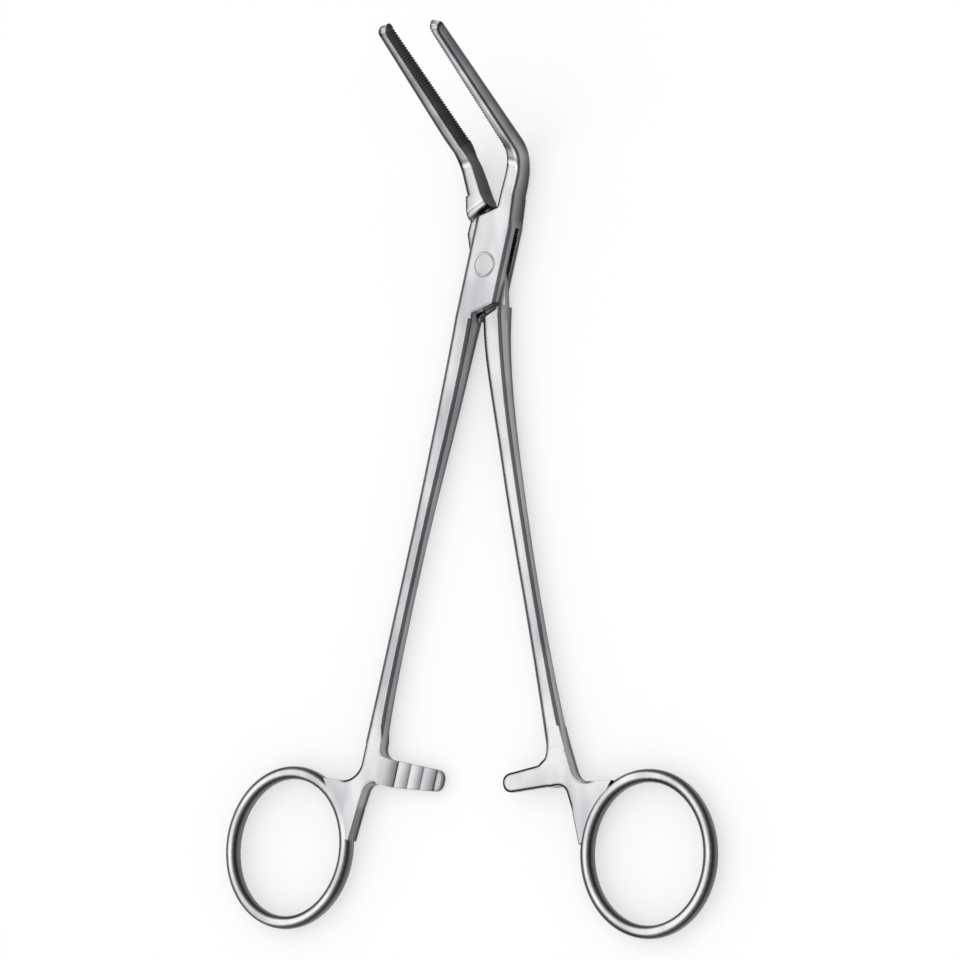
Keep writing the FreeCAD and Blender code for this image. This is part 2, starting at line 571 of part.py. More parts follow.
def make_bar(body, corners, low, thick, tooth):
    """A ratchet bar: flat bar, rounded end, then saw teeth cut across one face."""
    plan = outline(body, "bar_plan", "XY_Plane", corners, low)
    pad(body, "bar", plan, thick)
    reach = max(abs(value(across)) for across, along in corners)
    soften(body, "bar_end", "bar_corner",
           lambda p, t: abs(t.z) > 0.99 and near(abs(p.x), reach) and p.y < -value("station_5"))
    if tooth["plain"]:
        plain = outline(body, "plain_section", "XZ_Plane", tooth["plain"], "rack_cut")
        cut(body, "plain_face", plain, "rack_cut_length", False)
    section = outline(body, "tooth_section", "XZ_Plane", tooth["section"], "rack_cut")
    notch = cut(body, "tooth_notch", section, "rack_cut_length", False)
    row = body.newObject("PartDesign::LinearPattern", "ratchet_teeth")
    row.Originals = [notch]
    row.Direction = (section, ["H_Axis"])
    row.Reversed = tooth["leftward"]
    row.setExpression("Length", "sizes.rack_pitch * (sizes.rack_teeth - 1)")
    row.setExpression("Occurrences", "sizes.rack_teeth")
    body.Tip = row
    doc.recompute()


def on_line(p, start, end):
    """Whether a point lies on a line in plan between two corners given as named cells."""
    x0, y0, x1, y1 = value(start[0]), value(start[1]), value(end[0]), value(end[1])
    long = math.hypot(x1 - x0, y1 - y0)
    off = ((p.x - x0) * (y1 - y0) - (p.y - y0) * (x1 - x0)) / long
    run = ((p.x - x0) * (x1 - x0) + (p.y - y0) * (y1 - y0)) / long
    return abs(off) < 0.03 and -0.02 < run < long + 0.02


def bevel_flanks(body, name, lines):
    """The bevels along the upper and lower edges of the box's flanks."""
    def on_flank(p, t):
        if abs(t.z) > 0.9 or not (near(p.z, 0) or near(p.z, value("box_thickness"))):
            return False
        return any(on_line(p, start, end) for start, end in lines)
    soften(body, name, "box_bevel", on_flank, "PartDesign::Chamfer")


# Box half: left shank, ring and lower ratchet bar, the two cheeks of the box, right jaw.
box_half = new_half("box_half")
make_ring(box_half, 1)
make_web(box_half, "box")
make_shank(box_half, "box")
make_bar(box_half,
         [("-bar_start", "-rack_front"), ("rack_length", "-rack_front_tip"), ("rack_length", "-rack_back_tip"),
          ("rack_first", "-rack_back_root"), ("-bar_start", "-rack_back_root")],
         "bar_low", "rack_thick",
         {"plain": [("rack_step", "rack_over"), ("rack_step", "web_top"),
                    ("rack_first", "rack_valley"), ("rack_first", "rack_over")],
          "section": [("rack_first", "rack_top"), ("rack_second", "rack_valley"),
                      ("rack_second", "rack_over"), ("rack_first", "rack_over")],
          "leftward": False})
grip_line, back_line = jaw_plan(1, "box")
make_jaw(box_half, 1, grip_line, back_line)
block_corners = [
    ("-box_left", "-station_0"),
    ("-shank_inner", "-station_0"),
    ("-shank_inner", "-cheek_back"),
    ("box_right", "-cheek_back_right"),
    ("box_right", "slot_wall_front"),
    ("outer_root_box", "root_end"),
    ("inner_root_box", "root_end"),
    ("inner_root_box", "cheek_front"),
    ("-box_left", "cheek_front_left"),
]
pad(box_half, "box_block", outline(box_half, "block_plan", "XY_Plane", block_corners), "box_thickness")
bevel_flanks(box_half, "flank_bevels",
             [(block_corners[8], block_corners[0]), (block_corners[3], block_corners[4]),
              (block_corners[4], block_corners[5])])
slot_corners = [
    ("-far_back", "-slot_wall_back"),
    ("-box_left", "-slot_wall_back"),
    ("-slot_inner", "-slot_heel"),
    ("-shank_inner", "-slot_mouth"),
    ("far_back", "-slot_mouth"),
    ("far_back", "slot_wall_front"),
    ("box_right", "slot_wall_front"),
    ("inner_root_box", "cheek_front"),
    ("inner_root_box", "front_clear"),
    ("-far_back", "front_clear"),
]
slot = outline(box_half, "slot_plan", "XY_Plane", slot_corners, "cheek_low")
cut(box_half, "slot", slot, "slot_height")


def bore(body, name, diameter):
    """A round hole down the pin's axis."""
    sketch = new_sketch(body, name + "_circle", "XY_Plane")
    sketch.addGeometry(Part.Circle(Vector(0, 0, 0), Vector(0, 0, 1), value(diameter) / 2), False)
    sketch.addConstraint(Sketcher.Constraint("Coincident", 0, 3, -1, 1))
    place = sketch.addConstraint(Sketcher.Constraint("Diameter", 0, value(diameter)))
    sketch.setExpression("Constraints[%d]" % place, bound(diameter))
    cut(body, name, sketch)


bore(box_half, "pin_hole", "pin_diameter")

# Tongue half: right shank, ring and upper ratchet bar, the tongue through the box, left jaw.
tongue_half = new_half("tongue_half")
make_ring(tongue_half, -1)
make_web(tongue_half, "tongue")
make_shank(tongue_half, "tongue")
make_bar(tongue_half,
         [("bar_start", "-catch_front_root"), ("-catch_knee", "-catch_knee_front"),
          ("-catch_heel", "-catch_heel_front"), ("-catch_length", "-catch_front"),
          ("-catch_length", "-catch_back_tip"), ("bar_start", "-catch_back_root")],
         "catch_low", "catch_thick",
         {"plain": None,
          "section": [("-catch_first", "catch_low"), ("-catch_first", "catch_under"),
                      ("-catch_second", "catch_under"), ("-catch_second", "catch_valley")],
          "leftward": True})
grip_line, back_line = jaw_plan(-1, "tongue")
make_jaw(tongue_half, -1, grip_line, back_line)
root_corners = [
    ("-root_left", "front_left_y"),
    ("front_b_x", "front_b_y"),
    ("crotch_x", "root_end"),
    ("-root_back", "root_end"),
]
pad(tongue_half, "jaw_root", outline(tongue_half, "root_plan", "XY_Plane", root_corners), "box_thickness")
soften(tongue_half, "root_ramps", "ramp_radius",
       lambda p, t: on_line(p, root_corners[0], root_corners[1]) and abs(t.z) < 0.1)
neck_corners = [
    ("-neck_left", "-station_0"),
    ("neck_right", "-station_0"),
    ("shoulder_right", "-shoulder_back_right"),
    ("-shoulder_left", "-shoulder_back"),
]
pad(tongue_half, "neck", outline(tongue_half, "neck_plan", "XY_Plane", neck_corners), "box_thickness")
bevel_flanks(tongue_half, "neck_bevels",
             [(neck_corners[1], neck_corners[2]), (neck_corners[3], neck_corners[0])])
tongue_corners = [
    ("-shoulder_left", "-station_0"),
    ("shoulder_left", "-station_0"),
    ("shoulder_right", "-shoulder_back_right"),
    ("tongue_right", "-tongue_waist"),
    ("tongue_right", "tongue_waist"),
    ("tongue_nose_x", "tongue_nose"),
    ("crotch_in", "root_end"),
    ("-root_in", "root_end"),
    ("-root_left", "tongue_side_front"),
    ("-tongue_left", "tongue_side"),
    ("-tongue_left", "-tongue_waist"),
]
tongue = outline(tongue_half, "tongue_plan", "XY_Plane", tongue_corners, "tongue_low")
pad(tongue_half, "tongue", tongue, "tongue_thick")
doc.recompute()
bore(tongue_half, "pin_bore", "bore_diameter")

# Rivet pin, ground flush with both cheeks, with a centre-punch mark.
pivot_pin = new_half("pivot_pin")
pin_profile = outline(pivot_pin, "pin_profile", "XZ_Plane", [
    ("0", "0"),
    ("pin_face", "0"),
    ("pin_radius", "pin_edge"),
    ("pin_radius", "pin_edge_top"),
    ("pin_face", "box_thickness"),
    ("punch_radius", "box_thickness"),
    ("0", "punch_level"),
])
turned = pivot_pin.newObject("PartDesign::Revolution", "turned_pin")
turned.Profile = pin_profile
turned.ReferenceAxis = (pin_profile, ["V_Axis"])
turned.Angle = 360
doc.recompute()

box_half.Placement = FreeCAD.Placement(Vector(0, 0, 0), FreeCAD.Rotation(Vector(0, 0, 1), -value("spread") / 2))
tongue_half.Placement = FreeCAD.Placement(Vector(0, 0, 0), FreeCAD.Rotation(Vector(0, 0, 1), value("spread") / 2))
doc.recompute()

# Every object must have computed, and every sub-part must be one sound solid, before anything is written.
for item in doc.Objects:
    if "Invalid" in item.State or "Error" in item.State:
        raise RuntimeError(item.Name + " failed: " + str(item.State))
parts = [box_half, tongue_half, pivot_pin]
for part in parts:
    if part.Shape.isNull() or not part.Shape.isValid() or len(part.Shape.Solids) != 1:
        raise RuntimeError(part.Label + " is not one sound solid")

os.makedirs("parts", exist_ok=True)
for part in parts:
    part.Shape.exportStep("parts/%s.step" % part.Label)
    box = part.Shape.BoundBox
    print(part.Label, "volume %.1f" % part.Shape.Volume, "x %.1f %.1f" % (box.XMin, box.XMax),
          "y %.1f %.1f" % (box.YMin, box.YMax), "z %.1f %.1f" % (box.ZMin, box.ZMax))
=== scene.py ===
import math

import bpy
from mathutils import Matrix, Vector

# Vascular clamp with a box joint, ring handles, a ratchet and jaws bent up out of the plane of opening.
# Everything is in metres, in the frame of the CAD model: origin on the pin's axis under the box,
# +Y towards the jaws, +Z up along the pin.

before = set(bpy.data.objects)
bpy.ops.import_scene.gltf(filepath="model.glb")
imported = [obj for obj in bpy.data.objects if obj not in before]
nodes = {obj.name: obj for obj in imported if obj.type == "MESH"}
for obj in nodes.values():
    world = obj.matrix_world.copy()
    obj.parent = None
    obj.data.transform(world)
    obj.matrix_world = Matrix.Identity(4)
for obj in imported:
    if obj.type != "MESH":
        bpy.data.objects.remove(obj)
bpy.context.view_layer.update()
print("frame loaded:", sorted(nodes))

mm = 0.001
firstColour, secondColour, mixedColour = 6, 7, 2    # a Mix node's sockets when it mixes colours


def linearColour(hexText):
    # an sRGB hex value such as #c8c7ca, as Blender's linear colour with alpha
    parts = [int(hexText[i:i + 2], 16) / 255 for i in (1, 3, 5)]
    return [p / 12.92 if p <= 0.04045 else ((p + 0.055) / 1.055) ** 2.4 for p in parts] + [1.0]


def addNode(tree, kind, settings=None, inputs=None):
    # one shader node: settings are its properties, and inputs gives its sockets a value or another node's output
    node = tree.nodes.new(kind)
    for name, setting in (settings or {}).items():
        setattr(node, name, setting)
    for socket, item in (inputs or {}).items():
        if isinstance(item, bpy.types.NodeSocket):
            tree.links.new(item, node.inputs[socket])
        else:
            node.inputs[socket].default_value = item
    return node


# Stainless steel, ground and satin polished: pale tops with faint clouds and lines along the length, and painted
# light and shade in its colour: a painted highlight line where a top meets its bevel, grey bevels between
# painted dark lines, and painted shade on flanks that darken downwards.
# Lengths are in mm, and a pair of numbers says where a change starts and where it is full.
steelLook = {
    # painted reflection tones by the lean of the surface, 0 level to 1 upright, with a painted highlight line
    # and painted dark bands
    "slopePaintedReflections": [
        (0.00, "#e6e6e8"), (0.12, "#dcdcde"), (0.20, "#efeff0"), (0.32, "#ffffff"), (0.46, "#4b4b4e"),
        (0.62, "#818083"), (0.74, "#515053"), (0.84, "#242325"), (0.94, "#b1b0b3"), (1.00, "#a09fa2")],
    # the same painted reflection tones for the rings, whose section is oval all round
    "ringPaintedReflections": [
        (0.00, "#e8e8ea"), (0.30, "#ffffff"), (0.48, "#e9e9ea"), (0.66, "#807f82"), (0.82, "#3a393c"),
        (0.92, "#363538"), (0.98, "#6a696c"), (1.00, "#7f7e81")],
    # painted reflection tones of the jaws, with a painted highlight streak, from facing left (0) over facing
    # along (0.5) to facing right (1)
    "jawPaintedReflections": [
        (0.00, "#a9a8ab"), (0.12, "#8f8e91"), (0.22, "#3b3a3d"), (0.36, "#6e6d71"), (0.45, "#8e8d91"),
        (0.51, "#bbbabd"), (0.59, "#ffffff"), (0.68, "#b7b6b9"), (0.76, "#39383b"), (0.85, "#4c4b4e"),
        (0.93, "#a5a4a7"), (1.00, "#9a999c")],
    "cloudTones": [(0.35, "#d4d3d6"), (0.62, "#ffffff")],

    # where the parts lie: stations are measured along the half from the pin
    "jawStart": (7.5, 10.5),
    "jawSwell": (0.98, 0.80),       # how far up a jaw's face looks, against the level top of the neck
    "jawBend": (22.8, 2.65),        # station and level of the bend
    "jawRise": 62.2,                # degrees
    "ringCentre": (17.0, -120.75),  # beside the half's line, and station
    "ringReach": (18.6, 17.4),
    "pinReach": (2.5, 2.2),
    "blends": [(-11.0, 0.6), (-94.9, 2.9)],    # station and half width where box and web blend into the shank
    "blendFade": 0.2,
    "flatTop": 0.98,                # a face that looks up more than this is a top
    "boxStart": -11.5,

    # patches whose lean is calmed, so that their painted reflection stays as bright as the tops beside them:
    # painted light
    "pinEdgePaintedLight": {"lean": 0.75, "tone": "#e2e2e3", "from": 0.1, "share": 0.8},    # painted light on the pin's flush edge and its groove
    "shoulder": {"span": (5.6, 10.2), "up": 0.3, "calm": 0.75},                   # of the tongue, in front
    "rack": {"span": (-104.6, -98.7), "beside": (0.5, 14.2), "up": 0.6, "calm": 0.8,
             "firstTooth": 3.45, "pitch": 2.95, "run": (0.1, 1.0)},               # the ratchet teeth

    # painted shade and light: how dark a part is against its tone, and the facing (-1 left to 1 right), lean or
    # depth that tells it
    "gripPaintedShade": 0.075,              # painted shade on the serrated grip faces
    "gripFacing": (0.5, 0.75),
    "crestPaintedHighlight": 2.4,               # painted highlight on the crests of the serrations, against the rest of the grip face
    "crestFacing": (0.93, 0.99),
    "leftPaintedShade": 0.14,               # painted shade on bevels on the left, away from the big light
    "leftFacing": (-0.05, -0.28),
    "leftLean": (0.93, 0.87),
    "farPaintedLight": 3.0,                 # painted light on the left sides of the rings
    "farFacing": (-0.2, -0.5),
    "rimPaintedShade": 0.03,                # painted dark line where a top turns down on the left and at its ends
    "rimLean": (0.07, 0.20),
    "rimFacing": (0.25, 0.0),
    "rimAside": (-0.12, -0.04),     # on blends and jaws only the left edge has the line
    "lowPaintedShade": 0.28,                # painted shade at the foot of a flank
    "lowLean": (0.6, 0.9),
    "shankFoot": (2.6, 1.5),        # above the table
    "boxFoot": (4.4, 0.6),
    "backPaintedShade": 0.12,               # painted shade on the back of a jaw's right side
    "backFacing": (0.3, 0.6),
    "backDepth": (-1.5, 0.9),       # behind the jaw's middle line
    "neckShare": 0.5,               # the same over the height of the neck, which is thicker
    "toothPaintedShade": 0.34,              # painted shade at the foot of a ratchet tooth against its crest
    "nookPaintedShade": 0.22,               # painted shade in the deepest nooks, found by ambient occlusion
    "nookReach": 1.6,
    "nookOpen": (0.95, 0.25),       # how open a nook is

    "roughness": 0.22,
    "flankRoughness": 0.30,
    "roughnessSpread": 0.07,
    "roughClouds": (0.3, 0.7),
    "grindPitch": 0.35,             # between polishing lines; the real ones, near 0.05 mm, don't show
    "grindStretch": 24.0,           # how many times longer than wide a line is
    "grindDetail": 3.0,
    "grindDepth": 0.0016,
    "cloudSize": 7.0,               # cloudiness left by the polishing wheel
    "cloudStretch": 2.5,
    "cloudDetail": 2.0,
    "edgeRound": 0.40,              # edges broken by the polish
    "softRound": 0.95,              # radius of the wide rounding that the painted jaw tones and rim lines follow
    "samples": 8,
}


def setRamp(node, tones):
    # tones: pairs of (position, sRGB hex)
    stops = node.color_ramp.elements
    while len(stops) < len(tones):
        stops.new(0.5)
    for stop, (position, tone) in zip(stops, tones):
        stop.position = position
        stop.color = linearColour(tone)


def share(tree, *steps):
    # how much a point belongs to a part: the product of its steps. A step is a number, a share made before,
    # or (source, start, full) with the values at which the part starts and is full.
    whole = 1.0
    for step in steps:
        if isinstance(step, tuple):
            source, start, full = step
            step = addNode(tree, "ShaderNodeMapRange", {"interpolation_type": "SMOOTHSTEP"},
                           {"Value": source, "From Min": start, "From Max": full}).outputs["Result"]
        product = addNode(tree, "ShaderNodeMath", {"operation": "MULTIPLY"}, {0: whole, 1: step})
        whole = product.outputs["Value"]
    return whole


def patch(tree, facingUp, leastUp, *spans):
    # share of a patch: 1 where each source lies in its span and the bare face looks up more than leastUp
    whole = addNode(tree, "ShaderNodeMath", {"operation": "GREATER_THAN"},
                    {0: facingUp, 1: leastUp}).outputs["Value"]
    for source, (low, high) in spans:
        inside = addNode(tree, "ShaderNodeMath", {"operation": "COMPARE"},
                         {0: source, 1: (low + high) / 2, 2: (high - low) / 2}).outputs["Value"]
        whole = share(tree, whole, inside)
    return whole


def placeOnHalf(tree, turn):
    # where a point is, in mm: its spot, station along the half, place beside the half's line, height above the
    # table and distance from the pin; and how far the bare face looks up
    place = addNode(tree, "ShaderNodeTexCoord").outputs["Object"]
    spot = addNode(tree, "ShaderNodeVectorMath", {"operation": "SCALE"},
                   {0: place, "Scale": 1 / mm}).outputs["Vector"]
    flat = addNode(tree, "ShaderNodeVectorMath", {"operation": "MULTIPLY"},
                   {0: spot, 1: (1, 1, 0)}).outputs["Vector"]
    bare = addNode(tree, "ShaderNodeNewGeometry").outputs["True Normal"]
    lengthways = (-math.sin(turn), math.cos(turn), 0)
    sideways = (math.cos(turn), math.sin(turn), 0)
    return {
        "spot": spot,
        "station": addNode(tree, "ShaderNodeVectorMath", {"operation": "DOT_PRODUCT"},
                           {0: spot, 1: lengthways}).outputs["Value"],
        "beside": addNode(tree, "ShaderNodeVectorMath", {"operation": "DOT_PRODUCT"},
                          {0: spot, 1: sideways}).outputs["Value"],
        "height": addNode(tree, "ShaderNodeSeparateXYZ", None, {"Vector": spot}).outputs["Z"],
        "reach": addNode(tree, "ShaderNodeVectorMath", {"operation": "LENGTH"}, {0: flat}).outputs["Value"],
        "facingUp": addNode(tree, "ShaderNodeSeparateXYZ", None, {"Vector": bare}).outputs["Z"],
    }


def roundedSurface(tree, turn, radius, samples):
    # the surface as if its edges were rounded: its normal, and in the half's own frame its lean (0 level,
    # 1 upright) and how far it faces right and up
    normal = addNode(tree, "ShaderNodeBevel", {"samples": samples}, {"Radius": radius * mm}).outputs["Normal"]
    own = addNode(tree, "ShaderNodeVectorTransform",
                  {"vector_type": "NORMAL", "convert_from": "WORLD", "convert_to": "OBJECT"},
                  {"Vector": normal}).outputs["Vector"]
    level = addNode(tree, "ShaderNodeVectorMath", {"operation": "MULTIPLY"},
                    {0: own, 1: (1, 1, 0)}).outputs["Vector"]
    return {
        "normal": normal,
        "lean": addNode(tree, "ShaderNodeVectorMath", {"operation": "LENGTH"}, {0: level}).outputs["Value"],
        "facing": addNode(tree, "ShaderNodeVectorMath", {"operation": "DOT_PRODUCT"},
                          {0: own, 1: (math.cos(turn), math.sin(turn), 0)}).outputs["Value"],
        "up": addNode(tree, "ShaderNodeSeparateXYZ", None, {"Vector": own}).outputs["Z"],
    }


def partShares(tree, at, soft, side, look):
    # shares of the half's parts: jaw by station, swelling face of the jaw, pin, ring, tops, blends of a top
    blend = 0.0
    for middle, room in look["blends"]:
        off = addNode(tree, "ShaderNodeMath", {"operation": "SUBTRACT"},
                      {0: at["station"], 1: middle}).outputs["Value"]
        off = addNode(tree, "ShaderNodeMath", {"operation": "ABSOLUTE"}, {0: off}).outputs["Value"]
        near = share(tree, (off, room, room - look["blendFade"]))
        blend = addNode(tree, "ShaderNodeMath", {"operation": "MAXIMUM"},
                        {0: blend, 1: near}).outputs["Value"]
    top = patch(tree, at["facingUp"], look["flatTop"])
    ringBeside, ringStation = look["ringCentre"]
    plan = addNode(tree, "ShaderNodeCombineXYZ", None, {"X": at["beside"], "Y": at["station"]})
    fromRing = addNode(tree, "ShaderNodeVectorMath", {"operation": "SUBTRACT"},
                       {0: plan.outputs["Vector"], 1: (side * ringBeside, ringStation, 0)}).outputs["Vector"]
    ringFar = addNode(tree, "ShaderNodeVectorMath", {"operation": "LENGTH"}, {0: fromRing}).outputs["Value"]
    jaw = share(tree, (at["station"], *look["jawStart"]))
    return {
        "jaw": jaw,
        "jawFace": share(tree, jaw, (soft["up"], *look["jawSwell"])),
        "pin": share(tree, (at["reach"], *look["pinReach"])),
        "ring": share(tree, (ringFar, *look["ringReach"])),
        "top": top,
        "blend": share(tree, blend, top),
    }


def calmedLean(tree, edge, parts, calmPatch, look):
    # painted tone's lean, lowered for painted light on the pin's flush edge, the blends and the half's calm
    # patch
    shallow = addNode(tree, "ShaderNodeMath", {"operation": "LESS_THAN"},
                      {0: edge["lean"], 1: look["pinEdgePaintedLight"]["lean"]}).outputs["Value"]
    calm = share(tree, parts["pin"], shallow)
    for other in (parts["blend"], calmPatch):
        calm = addNode(tree, "ShaderNodeMath", {"operation": "MAXIMUM"}, {0: calm, 1: other}).outputs["Value"]
    left = addNode(tree, "ShaderNodeMath", {"operation": "SUBTRACT"}, {0: 1.0, 1: calm}).outputs["Value"]
    return share(tree, edge["lean"], left)


def paintedReflectionTone(tree, lean, soft, parts, look):
    # the painted reflection tone of box, shanks and webs, of the rings and of the jaws, blended where they meet
    jawFacing = addNode(tree, "ShaderNodeMath", {"operation": "MULTIPLY_ADD"},
                        {0: soft["facing"], 1: 0.5, 2: 0.5}).outputs["Value"]
    slopes = addNode(tree, "ShaderNodeValToRGB", None, {"Fac": lean})
    setRamp(slopes, look["slopePaintedReflections"])
    tone = slopes.outputs["Color"]
    for tones, source, part in (("ringPaintedReflections", lean, "ring"), ("jawPaintedReflections", jawFacing, "jawFace")):
        ramp = addNode(tree, "ShaderNodeValToRGB", None, {"Fac": source})
        setRamp(ramp, look[tones])
        tone = addNode(tree, "ShaderNodeMix", {"data_type": "RGBA"},
                       {0: parts[part], firstColour: tone, secondColour: ramp.outputs["Color"]})
        tone = tone.outputs[mixedColour]
    return tone


def footShadeShare(tree, at, lean, parts, look):
    # painted shade at the foot of a flank, higher on the box than on the shanks
    onBox = addNode(tree, "ShaderNodeMath", {"operation": "GREATER_THAN"},
                    {0: at["station"], 1: look["boxStart"]}).outputs["Value"]
    shankFoot = share(tree, (at["height"], *look["shankFoot"]))
    boxFoot = share(tree, (at["height"], *look["boxFoot"]))
    more = addNode(tree, "ShaderNodeMath", {"operation": "SUBTRACT"},
                   {0: boxFoot, 1: shankFoot}).outputs["Value"]
    foot = addNode(tree, "ShaderNodeMath", {"operation": "MULTIPLY_ADD"},
                   {0: onBox, 1: more, 2: shankFoot}).outputs["Value"]
    offJaw = addNode(tree, "ShaderNodeMath", {"operation": "SUBTRACT"},
                     {0: 1.0, 1: parts["jaw"]}).outputs["Value"]
    return share(tree, foot, (lean, *look["lowLean"]), offJaw)


def backShadeShare(tree, at, edge, parts, look):
    # painted shade on the back of a jaw's right side, by its depth behind the bent middle line of jaw and neck
    bendStation, bendLevel = look["jawBend"]
    rise = math.radians(look["jawRise"])
    past = addNode(tree, "ShaderNodeMath", {"operation": "SUBTRACT"},
                   {0: at["station"], 1: bendStation}).outputs["Value"]
    under = addNode(tree, "ShaderNodeMath", {"operation": "SUBTRACT"},
                    {0: bendLevel, 1: at["height"]}).outputs["Value"]
    depth = addNode(tree, "ShaderNodeMath", {"operation": "MULTIPLY_ADD"},
                    {0: past, 1: math.sin(rise), 2: share(tree, under, math.cos(rise))}).outputs["Value"]
    depth = addNode(tree, "ShaderNodeMath", {"operation": "MAXIMUM"},
                    {0: depth, 1: share(tree, under, look["neckShare"])}).outputs["Value"]
    return share(tree, (depth, *look["backDepth"]), parts["jaw"], (edge["facing"], *look["backFacing"]))


def rimShadeShare(tree, soft, parts, look):
    # painted dark line along the left edges and ends of a top, off the rings and the pin
    jawOrBlend = addNode(tree, "ShaderNodeMath", {"operation": "MAXIMUM"},
                         {0: parts["blend"], 1: parts["jaw"]}).outputs["Value"]
    plain = share(tree, jawOrBlend, (soft["facing"], *look["rimAside"]))
    plain = addNode(tree, "ShaderNodeMath", {"operation": "MAXIMUM"},
                    {0: plain, 1: parts["pin"]}).outputs["Value"]
    rim = share(tree, (soft["lean"], *look["rimLean"]), (soft["facing"], *look["rimFacing"]), parts["top"])
    for other in (parts["ring"], plain):
        off = addNode(tree, "ShaderNodeMath", {"operation": "SUBTRACT"}, {0: 1.0, 1: other}).outputs["Value"]
        rim = share(tree, rim, off)
    return rim


def toothShadeShare(tree, at, rackPatch, look):
    # painted shade on each ratchet tooth, from its crest to its foot
    rack = look["rack"]
    run = addNode(tree, "ShaderNodeMath", {"operation": "SUBTRACT"},
                  {0: at["beside"], 1: rack["firstTooth"]}).outputs["Value"]
    run = addNode(tree, "ShaderNodeMath", {"operation": "DIVIDE"},
                  {0: run, 1: rack["pitch"]}).outputs["Value"]
    run = addNode(tree, "ShaderNodeMath", {"operation": "FRACT"}, {0: run}).outputs["Value"]
    return share(tree, rackPatch, (run, *rack["run"]))


def steelShade(tree, at, edge, soft, lean, parts, rackPatch, side, darker, look):
    # painted shade and light in the steel's colour: every part draws it towards its own share of light
    gripFacing = share(tree, edge["facing"], side)
    grip = share(tree, (gripFacing, *look["gripFacing"]), parts["jawFace"])
    # painted shade in nooks: ambient occlusion darkens the colour
    openness = addNode(tree, "ShaderNodeAmbientOcclusion", {"samples": look["samples"]},
                       {"Distance": look["nookReach"] * mm}).outputs["AO"]
    openness = addNode(tree, "ShaderNodeMath", {"operation": "MAXIMUM"},
                       {0: openness, 1: parts["pin"]}).outputs["Value"]
    farLean = tuple(reversed(look["leftLean"]))
    shadeParts = {
        "gripPaintedShade": grip,
        "crestPaintedHighlight": share(tree, grip, (gripFacing, *look["crestFacing"])),
        "leftPaintedShade": share(tree, (edge["facing"], *look["leftFacing"]), (lean, *look["leftLean"])),
        "farPaintedLight": share(tree, (edge["facing"], *look["farFacing"]), (lean, *farLean), parts["ring"]),
        "rimPaintedShade": rimShadeShare(tree, soft, parts, look),
        "lowPaintedShade": footShadeShare(tree, at, lean, parts, look),
        "backPaintedShade": backShadeShare(tree, at, edge, parts, look),
        "nookPaintedShade": share(tree, (openness, *look["nookOpen"])),
    }
    if rackPatch:
        shadeParts["toothPaintedShade"] = toothShadeShare(tree, at, rackPatch, look)
    shade = darker
    for tone, part in shadeParts.items():
        light = addNode(tree, "ShaderNodeMath", {"operation": "MULTIPLY_ADD"},
                        {0: part, 1: look[tone] - 1, 2: 1.0}).outputs["Value"]
        shade = share(tree, shade, light)
    return shade


def grain(tree, at, turn, size, stretch, detail):
    # noise of a size in mm, drawn out along the half
    drawn = addNode(tree, "ShaderNodeMapping", None,
                    {"Vector": at["spot"], "Rotation": (0, 0, -turn), "Scale": (1, 1 / stretch, 1)})
    return addNode(tree, "ShaderNodeTexNoise", None,
                   {"Vector": drawn.outputs["Vector"], "Scale": 1 / size, "Detail": detail}).outputs["Fac"]


